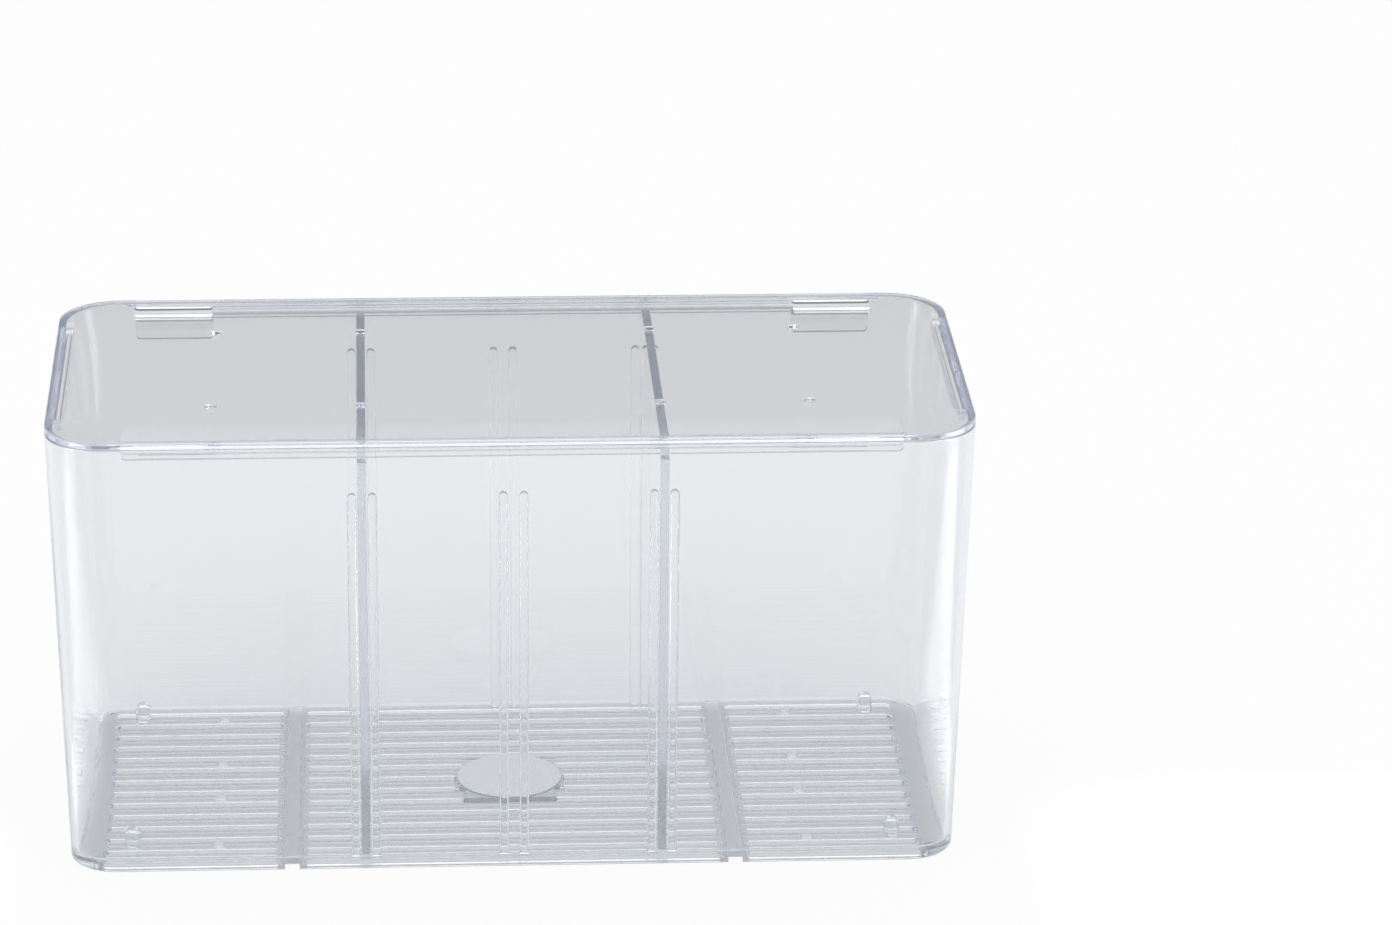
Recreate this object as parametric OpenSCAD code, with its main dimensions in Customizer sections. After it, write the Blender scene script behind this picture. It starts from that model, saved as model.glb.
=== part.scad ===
// Fish breeding box: a clear moulded tank with a slotted floor, two lift-out dividers and a lid.
// The origin is the middle of the foot, +X runs along the length, +Y to the back and +Z up.
// Sizes are in millimetres.

/* [Tank] */
// Outer length of the tank at its rim
rim_length = 210; // [170:1:280]
// Outer width of the tank at its rim
rim_width = 98; // [80:1:140]
// Height of the tank without its lid
tank_height = 104.5; // [70:0.5:150]
// How far each wall leans in between the rim and the foot
draft = 3; // [1:0.5:5]
// Outer radius of the upright corners at the rim
corner_radius = 14; // [10:1:22]
// Thickness of the walls
wall = 1.8; // [1.2:0.1:2.6]

/* [Slotted floor] */
// Thickness of the floor
floor_thickness = 2.5; // [1.5:0.5:4]
// Width of each floor slot
slot_width = 2.2; // [1:0.2:3.4]
// Distance from one slot to the next
slot_pitch = 6.6; // [5:0.2:9]
// Least solid strip between the slots and the long walls
side_margin = 3; // [2:0.5:8]
// Solid strip between the slots and the short walls
end_margin = 6; // [4:0.5:12]
// Width of the two solid strips that run across the floor
strip_width = 5.3; // [3:0.1:8]
// Diameter of the round pad in the middle of the floor
pad_diameter = 26; // [16:1:34]
// Height of the raised face of the pad above the floor
pad_rise = 0.4; // [0.2:0.1:0.5]
// How far the raised face stays inside the edge of the pad
pad_step = 0.5; // [0.3:0.1:2]
// Width of the water channel under each cross strip
channel_width = 3.3; // [2:0.1:4]
// Height of the water channel under each cross strip
channel_height = 1.4; // [0.6:0.1:1.4]

/* [Studs] */
// Diameter of the four corner studs
stud_diameter = 4; // [3:0.2:4.2]
// Height of the corner studs above the floor
stud_rise = 5; // [2:0.5:8]
// Distance from the short walls to the corner studs
stud_inset = 12.5; // [7:0.5:14]
// Diameter of the small dimples on the floor bars
dimple_diameter = 3; // [1.6:0.2:4]
// Height of the small dimples
dimple_rise = 0.7; // [0.3:0.1:1.2]

/* [Divider guides] */
// Distance from one divider guide to the next
guide_pitch = 34; // [24:0.5:44]
// Gap between the two ribs of a guide
guide_gap = 2.6; // [2:0.1:4]
// Width of each guide rib
rib_width = 2; // [1.2:0.1:3]
// How far the guide ribs stand out of the wall
rib_depth = 1.8; // [1:0.1:3]
// Distance from the rim down to the rounded tops of the ribs
rib_drop = 11.5; // [8:0.5:20]

/* [Dividers] */
// Thickness of each divider
divider_thickness = 2; // [1.2:0.1:3]
// Clearance between a divider and the walls and ribs around it
divider_clearance = 0.3; // [0.2:0.05:0.5]
// Distance from the rim down to the top edge of a divider
divider_drop = 1.1; // [0.6:0.1:4]
// Gap between the floor and a divider that stands in its guides
divider_lift = 0.6; // [0.5:0.1:1.5]

/* [Lid] */
// Thickness of the lid
lid_thickness = 1.5; // [1:0.1:3]
// Hairline gap between the lid and the rim
lid_gap = 0.1; // [0.05:0.05:0.3]
// Clearance between the locating ribs and the inside of the rim
lid_clearance = 0.3; // [0.2:0.05:0.6]
// Thickness of the locating ribs under the lid
lid_rib_thickness = 1.5; // [1:0.1:2.5]
// Depth of the locating ribs under the lid
lid_rib_depth = 3; // [2:0.5:5]
// Distance from the start of each corner curve to the end of a locating rib
lid_rib_setback = 3.5; // [2:0.5:8]
// Width of the two rear tabs that hold the lid as it tips
tab_width = 18.5; // [12:0.5:30]
// Depth of the rear tabs under the lid
tab_depth = 8.5; // [5:0.5:9.5]
// Diameter of the air holes in the lid
air_hole = 2.4; // [1.5:0.1:4]
// Distance from the middle of the lid to each row of air holes
air_row = 25; // [18:0.5:30]

/* [Hidden] */
$fn = 64;
small_fn = 32; // facets of the small round details
overlap = 0.5;
cut_through = 1; // how far a cutting shape runs past the face it cuts
dimple_gap = 4; // slot rows between the two dimples of a quarter
notch_room = 0.5; // room beside a lid rib in the notch of a divider
notch_drop = 1; // room under a lid rib in the notch of a divider
clear_blue = [0.86, 0.89, 0.95, 0.45];

// Centres of the upright corners, which every wall and the lid share
corner_x = rim_length / 2 - corner_radius;
corner_y = rim_width / 2 - corner_radius;

// Outer corner radius at a height above the foot
function outer_radius(z) = corner_radius - draft * (1 - z / tank_height);
// Distance from the middle plane to the inside of the long and short walls at a height
function inner_y(z) = corner_y + outer_radius(z) - wall;
function inner_x(z) = corner_x + outer_radius(z) - wall;

// Floor layout
half_rows = floor((inner_y(0) - side_margin - slot_width / 2) / slot_pitch);
slot_reach = inner_x(0) - end_margin;
strip_x = 1.5 * guide_pitch;
strip_edges = [strip_x - strip_width / 2, strip_x + strip_width / 2];
stud_x = inner_x(0) - stud_inset;
stud_y = (half_rows - 0.5) * slot_pitch;
dimple_x = 2 * guide_pitch;
dimple_rows = [half_rows - 0.5, half_rows - 0.5 - dimple_gap];

// Guides and dividers
rib_offset = (guide_gap + rib_width) / 2;
rib_top = tank_height - rib_drop;
divider_bottom = floor_thickness + divider_lift;
divider_top = tank_height - divider_drop;
notch_depth = lid_rib_depth - divider_drop + notch_drop;
notch_width = lid_clearance + lid_rib_thickness + notch_room;

// Lid
lid_bottom = tank_height + lid_gap;
lid_rib_y = inner_y(tank_height) - lid_clearance;
lid_rib_x = inner_x(tank_height) - lid_clearance;
long_rib = 2 * (corner_x - lid_rib_setback);
short_rib = 2 * (corner_y - lid_rib_setback);

// A block with leaning walls and rounded corners, between two heights
module leaning_block(low, high, inset) {
    r_low = outer_radius(low) - inset;
    r_high = outer_radius(high) - inset;
    for (x = [-corner_x, corner_x], y = [-corner_y, corner_y])
        translate([x, y, low]) cylinder(r1 = r_low, r2 = r_high, h = high - low);
    leaning_slab(2 * corner_x, corner_y, low, high, r_low, r_high);
    rotate([0, 0, 90]) leaning_slab(2 * corner_y, corner_x, low, high, r_low, r_high);
}

// One straight stretch of the block, running along X
module leaning_slab(length, half_width, low, high, r_low, r_high) {
    rotate([90, 0, 90]) linear_extrude(length, center = true) polygon([
        [-half_width - r_low, low], [half_width + r_low, low],
        [half_width + r_high, high], [-half_width - r_high, high]]);
}

// A plate outline with rounded corners, concentric with the tank's corners
module rounded_outline(radius) {
    square([2 * (corner_x + radius), 2 * corner_y], center = true);
    square([2 * corner_x, 2 * (corner_y + radius)], center = true);
    for (x = [-corner_x, corner_x], y = [-corner_y, corner_y]) translate([x, y]) circle(r = radius);
}

// One slot with round ends between two places along X
module slot(from_x, to_x) {
    translate([from_x + slot_width / 2, -slot_width / 2]) square([to_x - from_x - slot_width, slot_width]);
    for (x = [from_x + slot_width / 2, to_x - slot_width / 2]) translate([x, 0]) circle(d = slot_width, $fn = small_fn);
}

// Every floor slot: rows along X, broken by the cross strips and the round pad
module floor_slots() {
    difference() {
        for (row = [-half_rows : half_rows]) translate([0, row * slot_pitch]) {
            slot(-slot_reach, -strip_edges[1]);
            slot(-strip_edges[0], strip_edges[0]);
            slot(strip_edges[1], slot_reach);
        }
        circle(d = pad_diameter);
    }
}

// A guide rib on the back wall: it follows the wall and has a rounded top
module guide_rib(x) {
    low = floor_thickness - overlap;
    intersection() {
        translate([x, 0, 0]) rotate([90, 0, 0]) translate([0, 0, -rim_width / 2]) linear_extrude(rim_width / 2) {
            translate([-rib_width / 2, low]) square([rib_width, rib_top - rib_width / 2 - low]);
            translate([0, rib_top - rib_width / 2]) circle(d = rib_width, $fn = small_fn);
        }
        rotate([90, 0, 90]) translate([0, 0, x - rib_width]) linear_extrude(2 * rib_width) polygon([
            [inner_y(low) - rib_depth, low], [inner_y(low) + overlap, low],
            [inner_y(rib_top) + overlap, rib_top], [inner_y(rib_top) - rib_depth, rib_top]]);
    }
}

module guide_ribs() {
    for (guide = [-1 : 1], side = [-1, 1]) guide_rib(guide * guide_pitch + side * rib_offset);
}

module tank() {
    color(clear_blue) difference() {
        union() {
            difference() {
                leaning_block(0, tank_height, 0);
                leaning_block(floor_thickness, tank_height + cut_through, wall);
            }
            guide_ribs();
            mirror([0, 1, 0]) guide_ribs();
            translate([0, 0, floor_thickness - overlap]) cylinder(d = pad_diameter - 2 * pad_step, h = pad_rise + overlap);
            for (x = [-stud_x, stud_x], y = [-stud_y, stud_y]) translate([x, y, floor_thickness - overlap])
                cylinder(d = stud_diameter, h = stud_rise + overlap, $fn = small_fn);
            for (x = [-dimple_x, dimple_x], row = dimple_rows, side = [-1, 1])
                translate([x, side * row * slot_pitch, floor_thickness - overlap])
                    cylinder(d = dimple_diameter, h = dimple_rise + overlap, $fn = small_fn);
        }
        translate([0, 0, -cut_through]) linear_extrude(floor_thickness + 2 * cut_through) floor_slots();
        for (x = [-strip_x, strip_x]) translate([x - channel_width / 2, -rim_width / 2, -cut_through])
            cube([channel_width, rim_width, cut_through + channel_height]);
    }
}

// A divider: a plate that follows the leaning walls, notched for the lid's ribs
module divider(x) {
    low_y = inner_y(divider_bottom) - divider_clearance;
    notch_z = divider_top - notch_depth;
    notch_y = inner_y(notch_z) - divider_clearance;
    top_y = notch_y - notch_width;
    rotate([90, 0, 90]) translate([0, 0, x - divider_thickness / 2]) linear_extrude(divider_thickness) polygon([
        [-low_y, divider_bottom], [low_y, divider_bottom],
        [notch_y, notch_z], [top_y, notch_z], [top_y, divider_top],
        [-top_y, divider_top], [-top_y, notch_z], [-notch_y, notch_z]]);
}

module divider_left() {
    color(clear_blue) divider(-guide_pitch);
}

module divider_right() {
    color(clear_blue) divider(guide_pitch);
}

module lid() {
    color(clear_blue) {
        difference() {
            translate([0, 0, lid_bottom]) linear_extrude(lid_thickness) rounded_outline(corner_radius);
            for (bay = [-2, -1, 1, 2], y = [-air_row, air_row])
                translate([bay * guide_pitch, y, lid_bottom - cut_through])
                    cylinder(d = air_hole, h = lid_thickness + 2 * cut_through, $fn = small_fn);
        }
        for (side = [0, 1]) {
            mirror([0, side, 0]) translate([-long_rib / 2, lid_rib_y - lid_rib_thickness, lid_bottom - lid_rib_depth])
                cube([long_rib, lid_rib_thickness, lid_rib_depth + overlap]);
            mirror([side, 0, 0]) translate([lid_rib_x - lid_rib_thickness, -short_rib / 2, lid_bottom - lid_rib_depth])
                cube([lid_rib_thickness, short_rib, lid_rib_depth + overlap]);
            mirror([side, 0, 0]) translate([long_rib / 2 - tab_width, lid_rib_y - lid_rib_thickness, lid_bottom - tab_depth])
                cube([tab_width, lid_rib_thickness, tab_depth + overlap]);
        }
    }
}

tank();
divider_left();
divider_right();
lid();
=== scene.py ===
"""Looks of the fish breeding box: a clear moulded tank with a slotted floor, two dividers and a lid.

Every shape is worked out in millimetres with the origin at the middle of the foot, +X along the
length, +Y to the back and +Z up, and goes into its mesh in metres.
"""

import logging
import math
from dataclasses import dataclass
from enum import Enum

import bmesh
import bpy
import numpy as np
from mathutils import Matrix, Vector


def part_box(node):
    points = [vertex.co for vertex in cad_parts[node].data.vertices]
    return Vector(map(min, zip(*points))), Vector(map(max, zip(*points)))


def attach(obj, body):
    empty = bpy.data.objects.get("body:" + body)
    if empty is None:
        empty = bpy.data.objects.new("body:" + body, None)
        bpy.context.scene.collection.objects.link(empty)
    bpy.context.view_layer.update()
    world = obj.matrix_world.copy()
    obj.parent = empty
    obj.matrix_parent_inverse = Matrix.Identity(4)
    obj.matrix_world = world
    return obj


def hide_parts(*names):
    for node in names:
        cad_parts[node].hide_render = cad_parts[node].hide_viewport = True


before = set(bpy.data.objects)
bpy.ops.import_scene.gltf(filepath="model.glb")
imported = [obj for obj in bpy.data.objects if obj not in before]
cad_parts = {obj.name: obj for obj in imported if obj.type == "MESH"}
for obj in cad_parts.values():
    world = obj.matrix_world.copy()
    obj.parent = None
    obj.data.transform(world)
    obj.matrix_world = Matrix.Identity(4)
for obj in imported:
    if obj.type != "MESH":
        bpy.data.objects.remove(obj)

MM = 0.001  # metres in a millimetre
WELD = 2e-6  # metres within which two points of a surface become one
SAME = 1e-6  # millimetres within which two places count as one
TOUCH = 0.01  # millimetres within which a point counts as lying on a face
FLAT_SHADOW = (0.960, 0.965, 0.970, 1.0)  # what a flat plate leaves of the light that crosses it
OBJECT = (0.0, 0.0, 50.0)  # the middle of the object, in millimetres
log = logging.getLogger("breeding_box")

Array = np.ndarray
Point = tuple[float, float, float]
Colour = tuple[float, float, float, float]


class Side(Enum):
    """The two guides that hold a divider, by the sign of their place along X."""

    LEFT = -1
    RIGHT = 1


class Edge(Enum):
    """The two long edges of the lid, by the sign of their place along Y."""

    FRONT = -1
    BACK = 1


def quarter_turn(steps: int) -> Array:
    """Angles in radians from 0 to 90 degrees, in a number of equal steps."""
    return np.linspace(0.0, math.pi / 2, steps + 1)


def rounding(radius: float, steps: int) -> tuple[Array, Array]:
    """The quarter circle that rounds an edge.

    Args:
        radius: Its radius.
        steps: Number of equal steps along it.

    Returns:
        A distance that falls from the radius to nothing, and one that grows from nothing to the radius.
    """
    turn = quarter_turn(steps)
    return radius * (1 - np.sin(turn)), radius * (1 - np.cos(turn))


def stack(x: Array, y: Array, z: Array) -> Array:
    """Points from their coordinates, which are spread to one shape and set along a last axis."""
    return np.stack(np.broadcast_arrays(x, y, z), axis=-1).astype(float)


def within(places: Array, middle: float, reach: float) -> slice:
    """The run of rising places that lie within a reach of a middle: its first and its last."""
    inside = np.flatnonzero(np.abs(places - middle) < reach + SAME)
    return slice(inside[0], inside[-1])


def ring_of(grid: Array, lines: slice, columns: slice) -> Array:
    """The closed loop of points round a rectangular block of a grid.

    Args:
        grid: Points of shape (lines, columns, 3).
        lines: First and last line of the block.
        columns: First and last column of the block.

    Returns:
        The block's border points in order, the first repeated at the end.
    """
    block = grid[lines.start:lines.stop + 1, columns.start:columns.stop + 1]
    return np.concatenate([block[0, :-1], block[:-1, -1], block[-1, :0:-1], block[:0:-1, 0], block[:1, 0]])


def turned(loop: Array, centre: tuple[float, float], profile: Array) -> Array:
    """A round form that grows out of a square block of a grid.

    Each border point of the block gives a direction from the centre, and every point of the profile,
    a radius and a height, is set out along that direction.

    Args:
        loop: Border points of the block.
        centre: X and Y of the form's axis.
        profile: Radius and height of each ring, from the block inwards.

    Returns:
        Points of shape (rings, border points, 3).
    """
    angle = np.arctan2(loop[:, 1] - centre[1], loop[:, 0] - centre[0])
    radius, height = profile[:, :1], profile[:, 1:]
    return stack(centre[0] + radius * np.cos(angle), centre[1] + radius * np.sin(angle), height)


def read(items: bpy.types.bpy_prop_collection, name: str, *shape: int, kind: type = float) -> Array:
    """One property of all of a mesh's points, faces or corners, in rows of a shape."""
    values = np.zeros((len(items), *shape), kind)
    items.foreach_get(name, values.reshape(-1))
    return values


def places_of(mesh: bpy.types.Mesh) -> Array:
    """X, Y and Z of each of a mesh's points, in millimetres."""
    return read(mesh.vertices, "co", 3) / MM


def mark_frost(mesh: bpy.types.Mesh, level: Array) -> None:
    """Stores how matt each point of a mesh is, from 0 for clear to 1 for frosted."""
    frost = mesh.attributes.new("frost", "FLOAT", "POINT")
    frost.data.foreach_set("value", level.astype(np.float32))


class Skin:
    """A closed surface gathered from patches that share their borders."""

    def __init__(self) -> None:
        """Starts with no patches."""
        self.points = np.zeros((0, 3))
        self.faces = np.zeros((0, 4), int)

    def patch(self, grid: Array, keep: Array | None = None) -> None:
        """Adds the four-sided cells of a grid of points.

        Args:
            grid: Points of shape (rows, columns, 3).
            keep: Which cells to add, of shape (rows - 1, columns - 1); all of them where it is None.
        """
        rows, columns = grid.shape[:2]
        index = len(self.points) + np.arange(rows * columns).reshape(rows, columns)
        cells = np.stack([index[:-1, :-1], index[:-1, 1:], index[1:, 1:], index[1:, :-1]], axis=-1)
        cells = cells.reshape(-1, 4) if keep is None else cells[keep]
        self.points = np.concatenate([self.points, grid.reshape(-1, 3)])
        self.faces = np.concatenate([self.faces, cells])

    def mirror(self, axis: int) -> None:
        """Adds the surface's own reflection through the middle plane across X (axis 0) or Y (axis 1)."""
        flip = np.ones(3)
        flip[axis] = -1.0
        self.faces = np.concatenate([self.faces, self.faces[:, ::-1] + len(self.points)])
        self.points = np.concatenate([self.points, self.points * flip])

    def mesh(self, name: str) -> bpy.types.Mesh:
        """Welds the patches into one closed mesh, in metres, whose normals point outwards."""
        mesh = bpy.data.meshes.new(name)
        mesh.from_pydata(self.points * MM, [], self.faces)
        work = bmesh.new()
        work.from_mesh(mesh)
        bmesh.ops.remove_doubles(work, verts=work.verts, dist=WELD)
        bmesh.ops.delete(work, geom=[e for e in work.edges if not e.link_faces], context="EDGES")
        bmesh.ops.delete(work, geom=[v for v in work.verts if not v.link_faces], context="VERTS")
        bmesh.ops.recalc_face_normals(work, faces=work.faces)
        work.to_mesh(mesh)
        work.free()
        mesh.polygons.foreach_set("use_smooth", np.ones(len(mesh.polygons), bool))
        self._turn_normals(mesh)
        return mesh

    @staticmethod
    def _turn_normals(mesh: bpy.types.Mesh) -> None:
        """Gives each point the sum of its faces' normals, each times the square of the face's area.

        So broad faces stay flat, and only the small ones along the edges turn.
        """
        area, normal = read(mesh.polygons, "area", 1), read(mesh.polygons, "normal", 3)
        corners = read(mesh.polygons, "loop_total", kind=int)
        share = (normal * (area / MM ** 2) ** 2).repeat(corners, axis=0)
        total = np.zeros((len(mesh.vertices), 3))
        np.add.at(total, read(mesh.loops, "vertex_index", kind=int), share)
        total /= np.maximum(np.linalg.norm(total, axis=1, keepdims=True), np.finfo(float).tiny)
        mesh.normals_split_custom_set_from_vertices(total)


class Nodes:
    """The nodes of a material or a world, begun from nothing."""

    def __init__(self, holder: bpy.types.Material | bpy.types.World) -> None:
        """Empties the node tree of a material or a world."""
        holder.use_nodes = True
        self.tree = holder.node_tree
        self.tree.nodes.clear()

    def add(self, kind: str, inputs: dict[str | int, object] | None = None) -> bpy.types.Node:
        """Adds a node and fills its inputs.

        Args:
            kind: Type of the node.
            inputs: For each input, by name or number, another node's output to link or a value to set.

        Returns:
            The new node.
        """
        node = self.tree.nodes.new(kind)
        for name, value in (inputs or {}).items():
            if isinstance(value, bpy.types.NodeSocket):
                self.tree.links.new(value, node.inputs[name])
            else:
                node.inputs[name].default_value = value
        return node

    def add_scaled(self, value: bpy.types.NodeSocket, scale: float,
                   more: bpy.types.NodeSocket | float = 0.0) -> bpy.types.NodeSocket:
        """Adds a node that multiplies a value by a scale and adds more to it, and gives its output."""
        node = self.add("ShaderNodeMath", {0: value, 1: scale, 2: more})
        node.operation = "MULTIPLY_ADD"
        return node.outputs["Value"]

    def add_mix(self, share: bpy.types.NodeSocket, first: bpy.types.NodeSocket,
                second: bpy.types.NodeSocket) -> bpy.types.NodeSocket:
        """Adds a node that blends two shaders by the second one's share, and gives its output."""
        return self.add("ShaderNodeMixShader", {"Fac": share, 1: first, 2: second}).outputs["Shader"]


@dataclass(frozen=True)
class ClearPlastic:
    """Clear moulded polystyrene: smooth, faintly wavy, and lilac where one looks along its thickness.

    The surface carries three patterns: a slow moulding ripple, a fine haze that changes the gloss from
    place to place, and the frost attribute of the mesh. Up to the satin limit frost only roughens the
    surface, and past it the plastic turns milky too.
    """

    name: str
    refraction: float = 1.585
    tint: Colour = (0.955, 0.967, 0.970, 1.0)
    depth_tint: Colour = (0.62, 0.69, 0.93, 1.0)
    depth_density: float = 3.0
    shadow_tint: Colour = (0.79, 0.80, 0.815, 1.0)
    gloss_low: float = 0.004
    gloss_high: float = 0.03
    satin_limit: float = 0.5
    frost_roughness: float = 0.5
    frost_milk: float = 0.95
    haze_scale: float = 60.0
    haze_detail: float = 3.0
    haze_low: float = 0.35
    haze_high: float = 0.75
    ripple_scale: float = 45.0
    ripple_detail: float = 1.0
    ripple_height: float = 0.0000025

    def make(self) -> bpy.types.Material:
        """Builds the material."""
        material = bpy.data.materials.new(self.name)
        nodes = Nodes(material)
        depth = nodes.add("ShaderNodeVolumeAbsorption",
                          {"Color": self.depth_tint, "Density": self.depth_density})
        nodes.add("ShaderNodeOutputMaterial",
                  {"Surface": self._surface(nodes), "Volume": depth.outputs["Volume"]})
        return material

    def _surface(self, nodes: Nodes) -> bpy.types.NodeSocket:
        """Adds the surface: the plastic, which only tints the rays that carry shadows and soft light."""
        place = nodes.add("ShaderNodeTexCoord").outputs["Object"]
        haze = nodes.add("ShaderNodeTexNoise",
                         {"Vector": place, "Scale": self.haze_scale, "Detail": self.haze_detail})
        gloss = nodes.add("ShaderNodeMapRange", {
            "Value": haze.outputs["Fac"], "From Min": self.haze_low, "From Max": self.haze_high,
            "To Min": self.gloss_low, "To Max": self.gloss_high})
        frost = nodes.add("ShaderNodeAttribute")
        frost.attribute_name = "frost"
        rough = nodes.add_scaled(frost.outputs["Fac"], self.frost_roughness, gloss.outputs["Result"])
        clear = nodes.add("ShaderNodeMapRange", {
            "Value": frost.outputs["Fac"], "From Min": self.satin_limit, "From Max": 1.0,
            "To Min": 1.0, "To Max": 1.0 - self.frost_milk})
        ripple = nodes.add("ShaderNodeTexNoise",
                           {"Vector": place, "Scale": self.ripple_scale, "Detail": self.ripple_detail})
        bump = nodes.add("ShaderNodeBump",
                         {"Height": ripple.outputs["Fac"], "Distance": self.ripple_height})
        plastic = nodes.add("ShaderNodeBsdfPrincipled", {
            "Base Color": self.tint, "IOR": self.refraction, "Roughness": rough,
            "Transmission Weight": clear.outputs["Result"], "Normal": bump.outputs["Normal"]})
        rays = nodes.add("ShaderNodeLightPath")
        through = nodes.add("ShaderNodeBsdfTransparent", {"Color": self.shadow_tint})
        surface = plastic.outputs["BSDF"]
        for kind in ("Is Shadow Ray", "Is Diffuse Ray"):
            surface = nodes.add_mix(rays.outputs[kind], surface, through.outputs["BSDF"])
        return surface


def link(name: str, data: bpy.types.ID) -> bpy.types.Object:
    """Makes an object of a mesh, a lamp or a camera and links it into the scene."""
    made = bpy.data.objects.new(name, data)
    bpy.context.scene.collection.objects.link(made)
    return made


def show(skin: Skin, name: str, material: bpy.types.Material, body: str, node: str) -> bpy.types.Object:
    """Makes a piece of the object from its surface and gives it its place in the frame.

    Args:
        skin: The piece's surface.
        name: Name of the piece.
        material: Its finish.
        body: The body it moves with.
        node: The solid it stands for.

    Returns:
        The new object.
    """
    mesh = skin.mesh(name)
    mesh.materials.append(material)
    piece = link(name, mesh)
    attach(piece, body)
    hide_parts(node)
    log.info("%s: %d faces on body %s", name, len(mesh.polygons), body)
    return piece


@dataclass
class Shell:
    """The leaning rounded box that the tank's walls follow and the dividers and lid fit."""

    rim_length: float
    rim_width: float
    height: float
    draft: float = 3.0
    corner_radius: float = 14.0
    wall: float = 1.8
    floor: float = 2.5

    @property
    def core_x(self) -> float:
        """Distance from the middle to the corners' centres along X."""
        return self.rim_length / 2 - self.corner_radius

    @property
    def core_y(self) -> float:
        """Distance from the middle to the corners' centres along Y."""
        return self.rim_width / 2 - self.corner_radius

    def outer(self, z: Array | float) -> Array | float:
        """Outer corner radius at a height: the rim's radius less the draft's share of the drop."""
        return self.corner_radius - self.draft * (1 - z / self.height)

    def inner(self, z: Array | float) -> Array | float:
        """Inner corner radius at a height: the outer radius less the wall."""
        return self.outer(z) - self.wall

    def path(self, x: Array, turn: Array, y: Array) -> Array:
        """A quarter of the way round: out along the back, through the corner and in along the side.

        Args:
            x: Places along the back, rising.
            turn: Angles through the corner, from the back's normal to the side's.
            y: Places along the side, falling.

        Returns:
            Core X, core Y, normal X and normal Y of each point.
        """
        back, corner, side = len(x), len(turn), len(y)
        return np.array([np.concatenate([x, np.full(corner + side, self.core_x)]),
                         np.concatenate([np.full(back + corner, self.core_y), y]),
                         np.concatenate([np.zeros(back), np.sin(turn), np.ones(side)]),
                         np.concatenate([np.ones(back), np.cos(turn), np.zeros(side)])])


def carry(path: Array, radius: Array, z: Array) -> Array:
    """Sets a profile out along a path: core point plus radius times normal, at each height.

    Args:
        path: Core X, core Y, normal X and normal Y of each point.
        radius: The profile's radius, down the first axis.
        z: The profile's height, down the first axis.

    Returns:
        Points of shape (profile, path, 3).
    """
    return stack(path[0] + radius * path[2], path[1] + radius * path[3], z)


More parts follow.
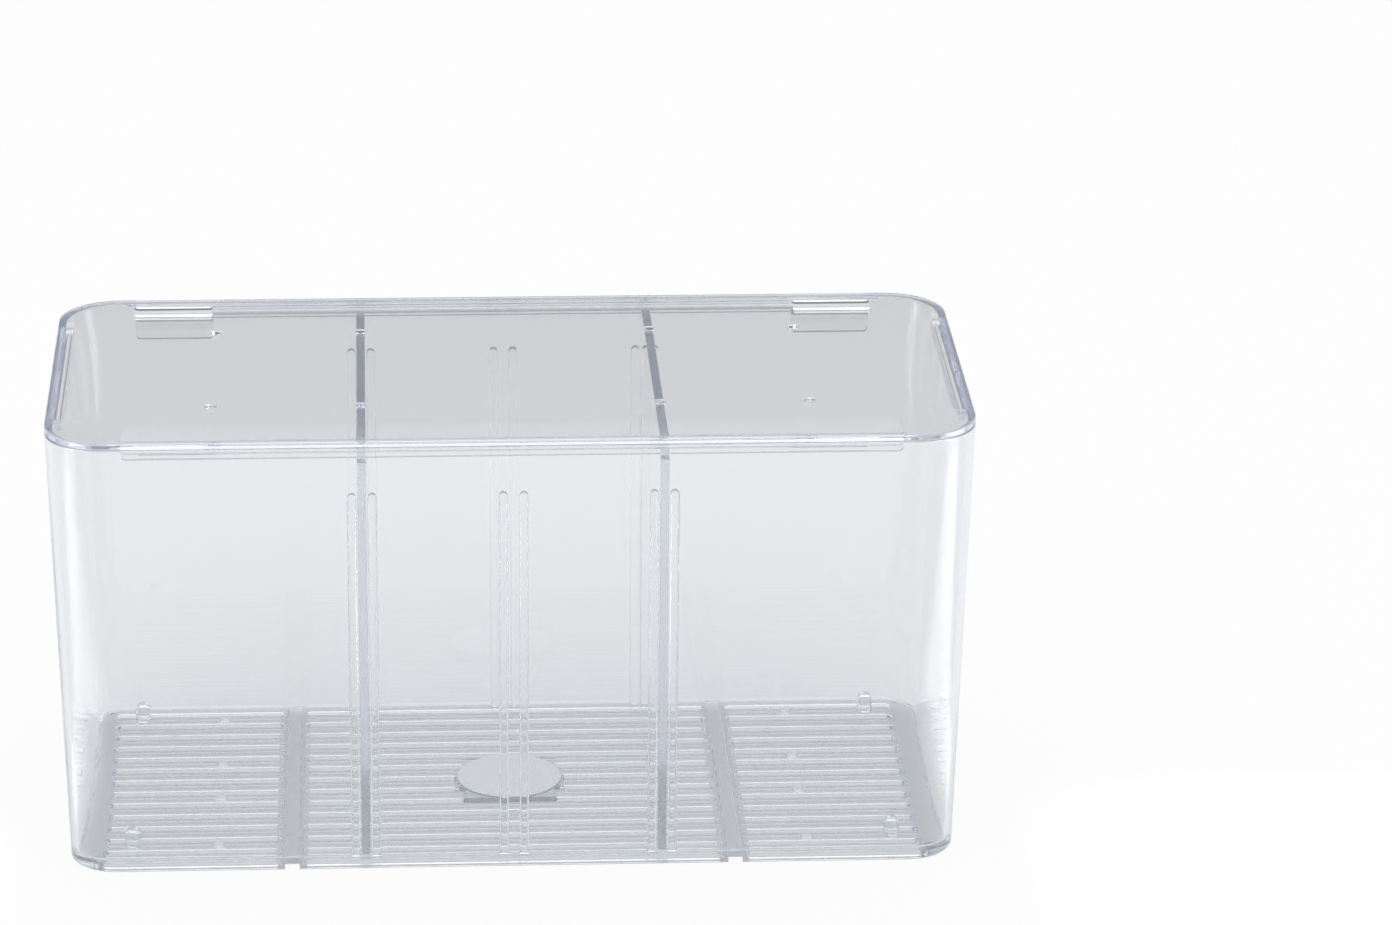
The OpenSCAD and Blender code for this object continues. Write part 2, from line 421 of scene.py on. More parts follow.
@dataclass
class Tank:
    """The tank: leaning walls, divider guides and a slotted floor in one moulding.

    It is the same on both sides of both middle planes, so one quarter is worked out and reflected. Its
    floor is a grid of columns along X and lines along Y that follow the slots. Filler columns split long
    cells, and the bars that carry studs and dimples are split into equal shares.
    """

    shell: Shell
    slot_width: float = 2.2
    slot_pitch: float = 6.6
    rows: int = 6
    slot_reach: float = 94.2
    strip_x: float = 51.0
    strip_width: float = 5.3
    channel_width: float = 3.3
    channel_height: float = 1.4
    channel_foot: tuple[float, float] = (0.02, 0.08)
    channel_edge: float = 0.1
    pad_radius: float = 13.0
    pad_step: float = 0.5
    pad_rise: float = 0.4
    pad_foot: float = 0.05
    pad_lean: float = 0.08
    pad_edge: float = 0.1
    pad_core: float = 0.6
    stud_x: float = 87.7
    stud_radius: float = 1.95
    stud_rise: float = 5.0
    stud_edge: float = 1.6
    stud_foot: tuple[float, float] = (0.06, 0.1)
    stud_lean: float = 0.1
    stud_block: float = 2.15
    stud_columns: tuple[float, ...] = (-1.0, -0.7, -0.35, 0.0, 0.7, 1.0)
    dimple_x: float = 68.0
    dimple_radius: float = 1.5
    dimple_rise: float = 0.7
    dimple_foot: float = 0.08
    dimple_block: float = 1.9
    dimple_columns: int = 7
    guide_pitch: float = 34.0
    guide_gap: float = 2.6
    rib_width: float = 2.0
    rib_depth: float = 1.8
    rib_drop: float = 11.5
    rib_edge: float = 0.45
    rib_root: float = 0.05
    rib_foot: tuple[float, float] = (0.02, 0.12)
    slot_edge: float = 0.35
    foot_edge: float = 0.8
    rim_edge: float = 0.4
    inside_edge: float = 0.8
    margin_x: float = 95.5
    margin_y: float = 41.5
    foot_band: float = 3.0
    filler_columns: tuple[tuple[float, ...], ...] = ((20.0, 26.0), (41.0, 44.0), (60.0,), (76.0, 82.0))
    bar_shares: tuple[float, ...] = (0.25, 0.5, 0.75)
    least_step: float = 0.012
    rib_satin: float = 0.3
    floor_satin: float = 0.1
    satin_from: float = 1.0
    turn_steps: int = 5
    edge_steps: int = 4
    rib_steps: int = 3
    slot_steps: int = 2
    dome_steps: int = 6
    pad_steps: int = 12

    def __post_init__(self) -> None:
        """Places the columns that run across the floor, which the walls share.

        Each column has a place, a growth for each millimetre that a slot's edge is rounded by, and the
        share of its width that a slot has there. The columns of a slot's round end stand on its circle,
        and those of the pad stand on the pad's.
        """
        self.rib_section = self._rib_section()
        reach = self.rib_section[:, 0]
        rib = np.concatenate([-reach, reach[:-1][::-1]])
        ribs = (self.rib_places[:, None] + rib).ravel()
        pad = self.pad_radius
        face = pad - self.slot_edge
        slot_half = self.slot_width / 2
        channel, rises = self._channel()
        swing, width = np.sin(quarter_turn(self.turn_steps)), np.cos(quarter_turn(self.turn_steps))
        near, far = self.strip_x - self.strip_width / 2, self.strip_x + self.strip_width / 2
        on_pad = self._pad_columns(ribs[ribs < face] / face)
        dimple = self.dimple_x + self.dimple_block * np.linspace(-1, 1, self.dimple_columns)
        stud = self.stud_x + self.stud_block * np.array(self.stud_columns)
        by_pad, by_guide, by_strip, by_dimple = self.filler_columns
        parts = [
            (pad * on_pad, -on_pad, np.ones_like(on_pad)),
            self._plain(by_pad, ribs[ribs > face], by_guide),
            (near - slot_half + slot_half * swing, swing, width),
            self._plain(channel, share=0.0),
            (far + slot_half - slot_half * swing[::-1], -swing[::-1], width[::-1]),
            self._plain(by_strip, dimple, by_dimple, stud, (self.shell.core_x,)),
            (self.slot_reach - slot_half + slot_half * swing, swing, width),
            self._plain((self.margin_x,), share=0.0),
        ]
        self.place, self.growth, self.share = (np.concatenate(values) for values in zip(*parts))
        self.pad_sine, self.pad_cosine = on_pad, np.sqrt(np.maximum(1 - on_pad ** 2, 0.0))
        self.share[self.share < SAME] = 0.0
        self.underside = np.interp(self.place, channel, rises)

    def _rib_section(self) -> Array:
        """Half of a guide rib's cross-section, from its root on the wall over its rounded edge.

        Returns:
            Distance from the rib's middle and height above the wall of each point.
        """
        half = self.rib_width / 2
        flat = half - self.rib_root - self.rib_edge
        inset, rise = self.rib_foot
        turn = quarter_turn(self.rib_steps)
        edge = np.column_stack([flat + self.rib_edge * np.cos(turn),
                                self.rib_depth - self.rib_edge + self.rib_edge * np.sin(turn)])
        root = [[half + self.rib_root, 0.0], [half - inset, rise]]
        return np.concatenate([root, edge, [[0.0, self.rib_depth]]])

    @property
    def rib_places(self) -> Array:
        """X of each guide rib's middle on the right-hand half."""
        offset = (self.guide_gap + self.rib_width) / 2
        return np.array([offset, self.guide_pitch - offset, self.guide_pitch + offset])

    @property
    def tip(self) -> float:
        """Height of the centre of each rib's rounded top."""
        return self.shell.height - self.rib_drop - self.rib_width / 2

    def _channel(self) -> tuple[Array, Array]:
        """The channel under a cross strip: X of each point of its section, and how high it stands."""
        half, edge = self.channel_width / 2, self.channel_edge
        lip, foot = self.channel_foot
        out = np.array([edge, lip, 0.0, -edge])
        rise = np.array([0.0, foot, self.channel_height - edge, self.channel_height])
        return (self.strip_x + np.concatenate([-half - out, half + out[::-1]]),
                np.concatenate([rise, rise[::-1]]))

    def _pad_columns(self, ribs: Array) -> Array:
        """Columns of the pad's quarter as shares of its radius: equal steps, slots' edges and ribs."""
        slot_half = self.slot_width / 2
        crossings = np.array([slot_half, self.slot_pitch - slot_half, self.slot_pitch + slot_half,
                              2 * self.slot_pitch - slot_half])
        met = np.sqrt(1 - (crossings / self.pad_radius) ** 2)
        columns = np.sort(np.concatenate([np.sin(quarter_turn(self.pad_steps)), met, ribs]))
        gap = np.abs(columns[:, None] - ribs).min(axis=1)
        wanted = (gap < SAME) | (gap > self.least_step)
        wanted[[0, -1]] = True
        columns = columns[wanted]
        return columns[np.concatenate([[True], np.diff(columns) > SAME])]

    @staticmethod
    def _plain(*runs: Array | tuple[float, ...], share: float = 1.0) -> tuple[Array, ...]:
        """Columns that stay where they are, all with the same share of a slot's width."""
        places = np.concatenate(runs)
        return places, np.zeros_like(places), np.full_like(places, share)

    def columns(self, growth: float) -> Array:
        """X of each column where the slots' edges are widened by a growth."""
        return self.place + self.growth * growth

    def lines(self, growth: float) -> tuple[Array, list[str]]:
        """The lines that run along the floor, each a function of the column.

        A slot's two edges stand its half width, times the column's share, to both sides of its row. Where
        a line would enter the round pad it follows the pad's circle instead, whose height over X is the
        root of the radius squared less X squared. Where a slot is shut its two edges are one line.

        Args:
            growth: How far the slots' edges are widened here.

        Returns:
            Y of shape (lines, columns), and the name of each line.
        """
        half = self.slot_width / 2
        circle = self._circle(growth)
        row = self.slot_pitch * np.arange(self.rows + 1)[:, None]
        shut_low, shut_high = self._edges(row, half, self._circle(0.0))
        low, high = self._edges(row, half + growth, circle)
        high = np.where(shut_high - shut_low < SAME, low, high)
        found, names = [], []
        for index in range(self.rows + 1):
            found += [low[index], high[index]]
            names += [f"low_{index}", f"high_{index}"]
            if index in (1, self.rows - 1):
                for share in self.bar_shares:
                    found.append(high[index] + share * (low[index + 1] - high[index]))
                    names.append(f"bar_{index}_{share}")
        found.append(np.full_like(circle, self.margin_y))
        names.append("margin")
        return np.array(found), names

    def _circle(self, growth: float) -> Array:
        """Height of the pad's circle over each column, and zero past the pad."""
        height = np.zeros_like(self.place)
        height[:len(self.pad_cosine)] = (self.pad_radius - growth) * self.pad_cosine
        return height

    def _edges(self, row: Array, half: float, circle: Array) -> tuple[Array, Array]:
        """Y of both edges of every slot, by its row and half width, kept out of the pad's circle."""
        low = np.maximum(np.maximum(row - half * self.share, 0.0), circle)
        high = np.maximum(row + half * self.share, circle)
        return np.minimum(low, high), high

    def path(self) -> tuple[Array, Array]:
        """The quarter path that the walls follow, one point for each border point of the floor.

        Returns:
            The path, and how far each of its points is from the nearest rib's middle.
        """
        x = self.columns(self.slot_edge)
        y = self.lines(self.slot_edge)[0][::-1, -1][1:]
        along_back = x <= self.shell.core_x + SAME
        along_side = y <= self.slot_pitch * (self.rows - 1) + SAME
        turn = np.linspace(0.0, math.pi / 2, np.sum(~along_back) + np.sum(~along_side) + 1)[1:]
        path = self.shell.path(x[along_back], turn, y[along_side])
        gap = np.abs(path[0][:, None] - self.rib_places).min(axis=1)
        return path, np.where(path[3] == 1.0, gap, np.inf)

    def walls(self, skin: Skin) -> tuple[Array, Array]:
        """Adds the outside of the walls, the rim and the inside down to the floor.

        The profile is a radius and a height: round the foot, up the leaning outside, over the rounded rim
        and down the inside. Below the ribs' tops the inside stands in by the rib's section.

        Args:
            skin: The surface to add to.

        Returns:
            The border under the foot and the border on the floor, in the path's order.
        """
        shell, (path, gap) = self.shell, self.path()
        foot_in, foot_z = rounding(self.foot_edge, self.edge_steps)
        rim_drop, rim_in = rounding(self.rim_edge, self.edge_steps)
        rim_z = shell.height - rim_drop
        rise = np.concatenate([foot_z, [self.foot_band], rim_z])[:, None]
        inset = np.concatenate([foot_in, [0.0], rim_in])[:, None]
        lift = np.zeros(path.shape[1])
        lift[:len(self.place)] = self.underside
        rise = rise + lift * np.maximum(1 - rise / self.foot_band, 0.0)
        outside = carry(path, shell.outer(rise) - inset, rise)
        root = self.rib_section[0, 0]
        tip = self.tip + np.sqrt(np.maximum(root ** 2 - np.minimum(gap, root) ** 2, 0.0))
        drop = rim_z[::-1, None] + np.zeros_like(tip)
        inside_z = np.concatenate([drop, tip[None, :]])
        inside_in = np.concatenate([rim_in[::-1], [0.0]])[:, None]
        inside = carry(path, shell.inner(inside_z) + inside_in, inside_z)
        skin.patch(np.concatenate([outside, inside]))
        stand = np.interp(gap, self.rib_section[::-1, 0], self.rib_section[::-1, 1])
        base_rise, base_in = rounding(self.inside_edge, self.edge_steps)
        low_z = np.concatenate([[self.tip], shell.floor + base_rise])[:, None]
        low_in = np.concatenate([[0.0], base_in])[:, None]
        low = carry(path, shell.inner(low_z) - low_in - stand, low_z)
        skin.patch(low)
        return outside[0], low[-1]

    def rib_tops(self, skin: Skin) -> None:
        """Adds the rounded top of each rib: its section turned through a half circle in the wall's plane.

        A point stands at the section's distance from the centre of the top, in the direction of its
        column, and out of the wall by the section's height.
        """
        reach, height = self.rib_section[:, :1], self.rib_section[:, 1:]
        columns = np.concatenate([-self.rib_section[:, 0], self.rib_section[:-1, 0][::-1]])
        lean = np.arcsin(columns / self.rib_section[0, 0])
        for place in self.rib_places:
            z = self.tip + reach * np.cos(lean)
            y = self.shell.core_y + self.shell.inner(z) - height
            skin.patch(stack(place + reach * np.sin(lean), y, z))

    def floor_face(self, skin: Skin, z: Array, forms: bool) -> Array:
        """Adds one face of the slotted floor.

        The columns and the lines make a grid. Its cells between two slots are the bars, those between a
        slot's own edges are left open, and the studs and dimples stand in blocks of cells of their own.

        Args:
            skin: The surface to add to.
            z: Height of each column.
            forms: True on the upper face, which carries the studs, the dimples and the raised pad.

        Returns:
            The face's outer border, in the path's order.
        """
        y, names = self.lines(self.slot_edge)
        grid = stack(self.columns(self.slot_edge), y, z)
        keep = np.ones((grid.shape[0] - 1, grid.shape[1] - 1), bool)
        for index in range(self.rows + 1):
            keep[names.index(f"low_{index}")] = False
        if forms:
            for row, x, block, profile in self._round_forms():
                lines = slice(names.index(f"high_{row}"), names.index(f"low_{row + 1}"))
                columns = within(self.place, x, block)
                keep[lines, columns] = False
                loop = ring_of(grid, lines, columns)
                centre = (x, (row + 0.5) * self.slot_pitch)
                skin.patch(np.concatenate([loop[None], turned(loop, centre, profile)]))
        skin.patch(grid, keep)
        self._pad_face(skin, z[0], forms)
        return np.concatenate([grid[-1], grid[::-1, -1][1:]])

    def _round_forms(self) -> list[tuple[int, float, float, Array]]:
        """The stud and the two dimples of this quarter: bar, X, half block and profile of each."""
        floor, crown = self.shell.floor, self.shell.floor + self.stud_rise
        radius, (inset, rise) = self.stud_radius, self.stud_foot
        fall, grow = rounding(self.stud_edge, self.edge_steps)
        stud = np.concatenate([[[radius, floor], [radius - inset, floor + rise]],
                               np.column_stack([radius - self.stud_lean - grow, crown - fall]),
                               [[0.0, crown]]])
        turn = quarter_turn(self.dome_steps)
        dome = np.column_stack([self.dimple_radius * np.cos(turn), floor + self.dimple_rise * np.sin(turn)])
        dimple = np.concatenate([[[self.dimple_radius + self.dimple_foot, floor]], dome])
        last = self.rows - 1
        return [(last, self.stud_x, self.stud_block, stud),
                (last, self.dimple_x, self.dimple_block, dimple),
                (1, self.dimple_x, self.dimple_block, dimple)]

    def _pad_face(self, skin: Skin, z: float, raised: bool) -> None:
        """Adds the round pad's quarter on the floor's face at a height: rings down to its middle."""
        face = self.pad_radius - self.pad_step
        foot, lean, edge = self.pad_foot, self.pad_lean, self.pad_edge
        inset = np.array([0.0, foot, lean, lean + edge])
        height = np.array([0.0, foot, self.pad_rise - edge, self.pad_rise])
        border = self.pad_radius - self.slot_edge
        radius = np.concatenate([[border], face - inset, [face * self.pad_core, 0.0]])
        rise = np.concatenate([[0.0], height, height[-1:], height[-1:]])
        if not raised:
            radius, rise = radius[[0, -2, -1]], np.zeros(3)
        radius, rise = radius[:, None], rise[:, None]
        skin.patch(stack(radius * self.pad_sine, radius * self.pad_cosine, z + rise))

    def slot_walls(self, skin: Skin) -> None:
        """Adds the walls of the slots between the floor's two faces.

        Each wall is a line of the floor taken down through the floor, widened at both faces by a rounded
        edge: its growth falls from the edge's radius to nothing over a quarter turn and comes back.
        """
        fall, grow = rounding(self.slot_edge, self.slot_steps)
        growths = np.concatenate([fall, fall[::-1]])
        heights = np.concatenate([self.shell.floor - grow, grow[::-1]])
        layers = [self.lines(growth)[0] for growth in growths]
        x = np.array([self.columns(growth) for growth in growths])
        flat, names = self.lines(0.0)
        for index in range(self.rows + 1):
            low, high = names.index(f"low_{index}"), names.index(f"high_{index}")
            is_open = flat[high] - flat[low] > SAME
            wanted = is_open[1:] | is_open[:-1]
            for line in (low, high):
                y = np.array([layer[line] for layer in layers])
                cells = wanted.copy()
                if index == 0 and line == low:
                    cells[len(self.pad_sine) - 1:] = False
                skin.patch(stack(x, y, heights[:, None]),
                           np.broadcast_to(cells, (len(heights) - 1, len(cells))))

    def build(self, finish: bpy.types.Material) -> bpy.types.Object:
        """Builds the whole tank in a finish."""
        skin = Skin()
        foot, base = self.walls(skin)
        self.rib_tops(skin)
        top = self.floor_face(skin, np.full_like(self.place, self.shell.floor), True)
        under = self.floor_face(skin, self.underside, False)
        skin.patch(np.stack([top, base]))
        skin.patch(np.stack([under, foot]))
        self.slot_walls(skin)
        skin.mirror(0)
        skin.mirror(1)
        piece = show(skin, "clear_tank", finish, "tank", "tank")
        self._mark_frost(piece.data)
        return piece

    def _mark_frost(self, mesh: bpy.types.Mesh) -> None:
        """Marks how matt each point is: the pad's face is frosted, the ribs and the floor are satin."""
        x, y, z = places_of(mesh).T
        shell = self.shell
        pad = (np.hypot(x, y) < self.pad_radius) & (z > shell.floor + self.pad_rise - TOUCH)
        floor = (z < shell.floor + TOUCH) & (np.abs(y) < self.slot_pitch * self.rows + self.slot_width)
        rib = np.abs(np.abs(x)[:, None] - self.rib_places).min(axis=1) < self.rib_section[0, 0]
        rib &= np.abs(y) < shell.core_y + shell.inner(z) - self.rib_root
        level = np.select([z > shell.floor + self.satin_from, pad, floor],
                          [self.rib_satin * rib, 1.0, self.floor_satin])
        mark_frost(mesh, level)


@dataclass
class Divider:
    """A divider: a flat plate that follows the leaning walls, notched for the lid's ribs."""

    shell: Shell
    side: Side
    guide_pitch: float = 34.0
    thickness: float = 2.0
    clearance: float = 0.3
    bottom: float = 3.1
    top: float = 103.4
    notch_depth: float = 2.9
    notch_width: float = 2.3
    notch_root: float = 0.01
    corner: float = 0.5
    corner_steps: int = 4
    edge: float = 0.25
    edge_steps: int = 3
    satin: float = 0.5

    def outline(self) -> Array:
        """Half of the plate's outline from the bottom up: the half width at each height."""
        notch = self.top - self.notch_depth
        inner = self.shell.core_y + self.shell.inner(np.array([self.bottom, notch]))
        low, wide = inner - self.clearance
        narrow = wide - self.notch_width
        fall, grow = rounding(self.corner, self.corner_steps)
        foot = np.column_stack([low - fall, self.bottom + grow])
        ledge = np.column_stack([wide - grow, notch - fall])
        inside = np.column_stack([narrow + fall, notch + self.notch_root + grow])
        crown = np.column_stack([narrow - grow, self.top - fall])
        return np.concatenate([foot, ledge, inside, crown])

    def build(self, finish: bpy.types.Material) -> bpy.types.Object:
        """Builds the plate: both faces as strips across the outline, and a rounded edge carried round it.

        The edge's section is a quarter circle at each face. Each of its points is the outline moved in
        along the outline's own normal by the section's inset, at the section's distance from the middle.
        The narrow edge between the faces is satin.
        """
        half = self.outline()
        loop = np.concatenate([half, half[::-1] * (-1, 1)])
        ahead = np.roll(loop, -1, axis=0) - loop
        ahead /= np.linalg.norm(ahead, axis=1, keepdims=True)
        behind = np.roll(ahead, 1, axis=0)
        out = np.column_stack([ahead[:, 1] + behind[:, 1], -ahead[:, 0] - behind[:, 0]])
        out /= (1 + np.sum(ahead * behind, axis=1, keepdims=True))
        fall, grow = rounding(self.edge, self.edge_steps)
        inset = np.concatenate([fall, fall[::-1]])
        depth = self.thickness / 2 - grow
        across = np.concatenate([depth, -depth[::-1]])
        place = self.side.value * self.guide_pitch
        rings = loop[None] - inset[:, None, None] * out[None]
        grid = stack(place + across[:, None], rings[..., 0], rings[..., 1])
        skin = Skin()
        skin.patch(np.concatenate([grid, grid[:, :1]], axis=1))
        for ring in (grid[0], grid[-1]):
            skin.patch(np.stack([ring[:len(half)], ring[len(half):][::-1]]))
        name = f"divider_{self.side.name.lower()}"
        piece = show(skin, f"clear_{name}", finish, name, name)
        off = np.abs(places_of(piece.data)[:, 0] - place)
        mark_frost(piece.data, self.satin * (off < self.thickness / 2 - TOUCH))
        return piece


@dataclass
class Lid:
    """The lid: a flat plate with locating ribs under it, two rear tabs and air holes."""

    shell: Shell
    thickness: float = 1.5
    gap: float = 0.1
    clearance: float = 0.3
    rib_thickness: float = 1.5
    rib_depth: float = 3.0
    rib_setback: float = 3.5
    tab_width: float = 18.5
    tab_depth: float = 8.5
    root: float = 0.05
    corner: float = 1.0
    face_lean: float = 0.03
    hole_radius: float = 1.2
    hole_row: float = 25.0
    hole_pitch: float = 34.0
    hole_block: float = 2.6
    hole_columns: int = 7
    hole_edge: float = 0.3
    edge: float = 0.4
    tip_edge: float = 0.5
    filler_column: float = 50.0
    filler_line: float = 12.0
    turn_steps: int = 14
    corner_steps: int = 5
    edge_steps: int = 4
    hole_steps: int = 3

    @property
    def under(self) -> float:
        """Height of the plate's underside."""
        return self.shell.height + self.gap

    def depths(self, faces: list[tuple[float, float]]) -> tuple[Array, Array]:
        """Depth of a rib from its middle outwards.

        It changes at steep faces, each with a quarter circle for its deeper corner.

        Args:
            faces: Place of each face, and the depth past it.

        Returns:
            Places in rising order, and the depth at each.
        """
        fall, grow = rounding(self.corner, self.corner_steps)
        away = np.append(fall + self.face_lean, 0.0)
        places, depths = np.zeros(1), np.array([self.rib_depth])
        for place, after in faces:
            before = depths[-1]
            depth = np.append(max(before, after) - grow, min(before, after))
            order = 1 if before > after else -1
            places = np.append(places, place - order * away[::order])
            depths = np.append(depths, depth[::order])
        return places, depths

    def depth_along(self, edge: Edge) -> tuple[Array, Array]:
        """Depth of the long rib under one edge, by its distance from the middle."""
        end = self.shell.core_x - self.rib_setback
        tab = [(end - self.tab_width, self.tab_depth)] if edge is Edge.BACK else []
        return self.depths(tab + [(end, 0.0)])

    def depth_across(self) -> tuple[Array, Array]:
        """Depth of the short rib under each end, by its distance from the middle."""
        return self.depths([(self.shell.core_y - self.rib_setback, 0.0)])

    def profile(self) -> Array:
        """The plate's edge and the rib's section, round which the border is carried.

        Returns:
            Radius, height, share of the rib's depth, and how far the rib's tip is rounded off there.
        """
        low, high = self.under, self.under + self.thickness
        fall, grow = rounding(self.edge, self.edge_steps)
        nothing = np.zeros_like(fall)
        over = np.column_stack([self.shell.corner_radius - fall, high - grow, nothing, nothing])
        below = over[::-1] * (1, -1, 1, 1) + (0, low + high, 0, 0)
        outer = self.shell.inner(self.shell.height) - self.clearance
        inner = outer - self.rib_thickness
        lift, inset = rounding(self.tip_edge, self.edge_steps)
        level, full = nothing + low, nothing + 1.0
        outside = np.column_stack([outer - inset, level, full, lift])
        inside = np.column_stack([inner + inset, level, full, lift])[::-1]
        return np.concatenate([[[0.0, high, 0.0, 0.0]], over, below, [[outer + self.root, low, 0.0, 0.0]],
                               outside, inside, [[inner - self.root, low, 0.0, 0.0], [0.0, low, 0.0, 0.0]]])

    def half(self, skin: Skin, edge: Edge) -> None:
        """Adds the quarter of the lid that lies on the right, along one of the long edges."""
        holes = np.array([self.hole_pitch, 2 * self.hole_pitch])
        spread = self.hole_block * np.linspace(-1, 1, self.hole_columns)
        around = (holes[:, None] + spread).ravel()
        steps = np.concatenate([self.depth_along(side)[0] for side in Edge])
        around = around[np.abs(around[:, None] - steps).min(axis=1) > self.root]
        x = np.unique(np.concatenate([steps, around, [self.filler_column, self.shell.core_x]]))
        y = np.unique(np.concatenate([self.depth_across()[0], self.hole_row + spread,
                                      [self.filler_line, self.shell.core_y]]))
        self._border(skin, edge, x, y)
        self._middle(skin, edge, x, y, holes)

    def _border(self, skin: Skin, edge: Edge, x: Array, y: Array) -> None:
        """Carries the edge's profile round the columns and lines, with the rib's depth off its height."""
        turn = quarter_turn(self.turn_steps)[1:-1]
        path = self.shell.path(x, turn, y[::-1])
        depth = np.concatenate([np.interp(x, *self.depth_along(edge)), np.zeros(len(turn)),
                                np.interp(y[::-1], *self.depth_across())])
        radius, height, share, lift = (column[:, None] for column in self.profile().T)
        ring = carry(path, radius, height - np.maximum(share * depth - lift, 0.0))
        ring[..., 1] *= edge.value
        skin.patch(ring)

    def _middle(self, skin: Skin, edge: Edge, x: Array, y: Array, holes: Array) -> None:
        """Adds both flat faces, as grids with a round opening in each air hole's block, and the holes."""
        top, low = self.under + self.thickness, self.under
        fall, grow = rounding(self.hole_edge, self.hole_steps)
        radius = np.concatenate([fall, fall[::-1]]) + self.hole_radius
        profile = np.column_stack([radius, np.concatenate([top - grow, low + grow[::-1]])])
        faces = [stack(x, y[:, None] * edge.value, level) for level in (top, low)]
        keep = np.ones((len(y) - 1, len(x) - 1), bool)
        for hole in holes:
            block = within(y, self.hole_row, self.hole_block), within(x, hole, self.hole_block)
            keep[block] = False
            loops = [ring_of(face, *block) for face in faces]
            wall = turned(loops[0], (hole, self.hole_row * edge.value), profile)
            skin.patch(np.concatenate([loops[0][None], wall, loops[1][None]]))
        for face in faces:
            skin.patch(face, keep)

    def build(self, finish: bpy.types.Material) -> bpy.types.Object:
        """Builds the whole lid in a finish."""
        skin = Skin()
        for edge in Edge:
            self.half(skin, edge)
        skin.mirror(0)
        return show(skin, "clear_lid", finish, "lid", "lid")


@dataclass(frozen=True)
class Lamp:
    """One soft rectangular lamp: where it hangs, what it faces, its size, power in watts and beam."""

    name: str
    place: Point
    target: Point
    size: tuple[float, float]
    power: float
    beam: float = 180.0

    def hang(self) -> None:
        """Hangs the lamp."""
        data = bpy.data.lights.new(self.name, "AREA")
        data.shape = "RECTANGLE"
        data.size, data.size_y = (length * MM for length in self.size)
        data.energy = self.power
        data.spread = math.radians(self.beam)
        turn = (Vector(self.place) - Vector(self.target)).to_track_quat("Z", "Y").to_matrix().to_4x4()
        link(self.name, data).matrix_world = Matrix.Translation(Vector(self.place) * MM) @ turn


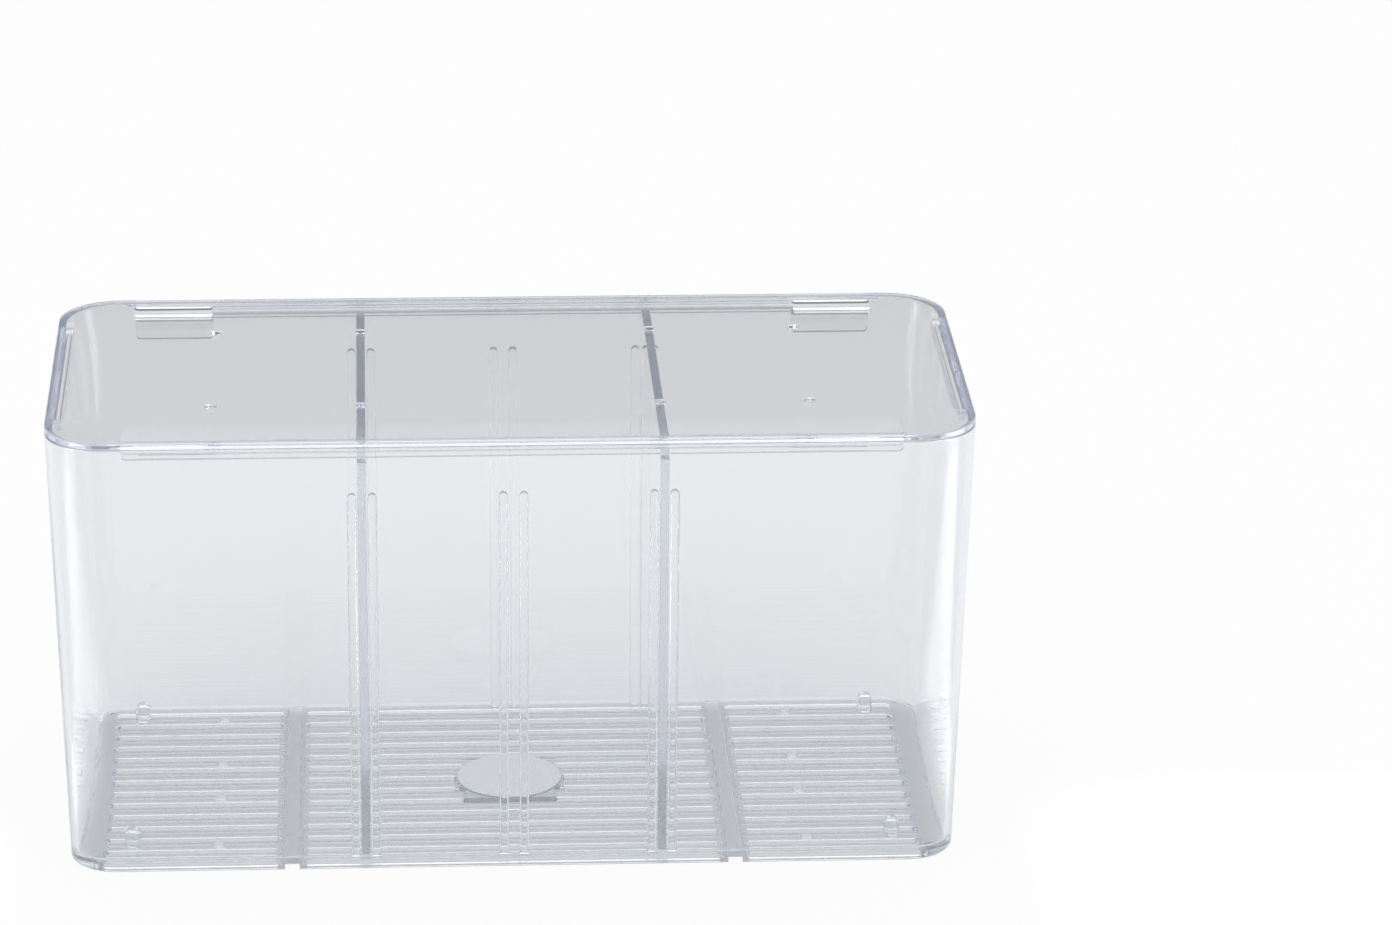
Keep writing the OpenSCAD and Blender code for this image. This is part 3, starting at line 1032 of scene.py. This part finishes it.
@dataclass
class Studio:
    """The floor, the lamps, the room and the camera.

    One soft lamp hangs in front and two light the floor beside the object. The room's levels are its
    brightness by height, from level with the object up to overhead, and its cast makes it a little blue.
    The glows are how far the floor shines by itself for the rays of each kind.
    """

    azimuth: float = 3.50
    elevation: float = 20.80
    distance: float = 1307.45
    roll: float = 0.55
    look_at: Point = (43.78, 0.0, 81.55)
    lens: float = 145.02
    sensor: float = 36.0
    nearest: float = 0.01
    farthest: float = 50.0
    room_levels: tuple[tuple[float, float], ...] = (
        (0.02, 0.85), (0.10, 0.24), (0.40, 0.26), (0.60, 0.60), (0.85, 1.35))
    room_cast: float = 1.03
    floor_reach: float = 6000.0
    floor_drop: float = 0.2
    floor_sides: int = 96
    floor_colour: Colour = (0.9, 0.9, 0.9, 1.0)
    glow_seen: float = 0.92
    glow_mirrored: float = 0.92
    glow_through: float = 0.3
    bounces: int = 128
    transmission_bounces: int = 64
    transparent_bounces: int = 32
    lamps: tuple[Lamp, ...] = (
        Lamp("front_lamp", (-350.0, -2000.0, 2000.0), OBJECT, (2400.0, 1600.0), 9.0),
        Lamp("left_floor_lamp", (-240.0, -75.0, 120.0), (-240.0, -75.0, 0.0), (200.0, 100.0), 0.55, 30.0),
        Lamp("right_floor_lamp", (245.0, -75.0, 120.0), (245.0, -75.0, 0.0), (200.0, 100.0), 0.55, 30.0),
    )

    def camera(self) -> None:
        """Places the camera back from the point it looks at, by its azimuth and elevation, and rolls it."""
        side, up = math.radians(self.azimuth), math.radians(self.elevation)
        ahead = Vector((math.sin(side) * math.cos(up), math.cos(side) * math.cos(up), -math.sin(up)))
        right = Vector((math.cos(side), -math.sin(side), 0.0))
        above = right.cross(ahead)
        turn = math.radians(self.roll)
        rolled = math.cos(turn) * right + math.sin(turn) * above
        upright = -math.sin(turn) * right + math.cos(turn) * above
        data = bpy.data.cameras.new("camera")
        data.lens, data.sensor_width = self.lens, self.sensor
        data.clip_start, data.clip_end = self.nearest, self.farthest
        camera = link("camera", data)
        place = (Vector(self.look_at) - ahead * self.distance) * MM
        basis = Matrix((rolled, upright, -ahead)).transposed()
        camera.matrix_world = Matrix.Translation(place) @ basis.to_4x4()
        bpy.context.scene.camera = camera

    def floor(self) -> None:
        """Lays the floor: a wide disc, almost white where it is seen, that keeps a faint shadow."""
        angle = np.linspace(0, 2 * math.pi, self.floor_sides, endpoint=False)
        reach = self.floor_reach * MM
        rim = stack(reach * np.cos(angle), reach * np.sin(angle), -self.floor_drop * MM)
        mesh = bpy.data.meshes.new("studio_floor")
        mesh.from_pydata(rim, [], [list(range(len(rim)))])
        material = bpy.data.materials.new("pale_floor")
        nodes = Nodes(material)
        rays = nodes.add("ShaderNodeLightPath").outputs
        share = nodes.add_scaled(rays["Is Transmission Ray"], self.glow_through - self.glow_mirrored)
        share = nodes.add_scaled(rays["Is Glossy Ray"], self.glow_mirrored, share)
        share = nodes.add_scaled(rays["Is Camera Ray"], self.glow_seen, share)
        matt = nodes.add("ShaderNodeBsdfDiffuse", {"Color": self.floor_colour})
        glow = nodes.add("ShaderNodeEmission")
        surface = nodes.add_mix(share, matt.outputs["BSDF"], glow.outputs["Emission"])
        nodes.add("ShaderNodeOutputMaterial", {"Surface": surface})
        mesh.materials.append(material)
        floor = link("studio_floor", mesh)

    def room_light(self) -> None:
        """Sets the dim room round the object, which the lid and the walls mirror."""
        world = bpy.data.worlds.new("room")
        nodes = Nodes(world)
        place = nodes.add("ShaderNodeTexCoord").outputs["Generated"]
        height = nodes.add("ShaderNodeSeparateXYZ", {"Vector": place}).outputs["Z"]
        ramp = nodes.add("ShaderNodeValToRGB", {"Fac": height})
        elements = ramp.color_ramp.elements
        for spot, level in self.room_levels:
            elements.new(spot).color = (level, level, level * self.room_cast, 1.0)
        elements.remove(elements[0])
        elements.remove(elements[-1])
        background = nodes.add("ShaderNodeBackground", {"Color": ramp.outputs["Color"]})
        nodes.add("ShaderNodeOutputWorld", {"Surface": background.outputs["Background"]})
        bpy.context.scene.world = world

    def build(self) -> None:
        """Sets up the whole studio."""
        self.camera()
        self.floor()
        self.room_light()
        for lamp in self.lamps:
            lamp.hang()
        scene = bpy.context.scene
        scene.view_settings.view_transform = "Standard"
        scene.cycles.max_bounces = self.bounces
        scene.cycles.glossy_bounces = self.bounces
        scene.cycles.transmission_bounces = self.transmission_bounces
        scene.cycles.transparent_max_bounces = self.transparent_bounces
        log.info("studio: floor, room, %d lamps and the camera", len(self.lamps))


def main() -> None:
    """Builds every piece in order."""
    logging.basicConfig(level=logging.INFO, format="%(name)s %(message)s")
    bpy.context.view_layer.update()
    rim_low, rim_high = (np.array(corner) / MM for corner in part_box("tank"))
    shell = Shell(*(rim_high - rim_low))
    studio = Studio()
    studio.build()
    Tank(shell).build(ClearPlastic("clear_tank_plastic").make())
    for side in Side:
        plastic = ClearPlastic("clear_divider_plastic", shadow_tint=FLAT_SHADOW)
        Divider(shell, side).build(plastic.make())
    Lid(shell).build(ClearPlastic("clear_lid_plastic", shadow_tint=FLAT_SHADOW).make())


if __name__ == "__main__":
    main()
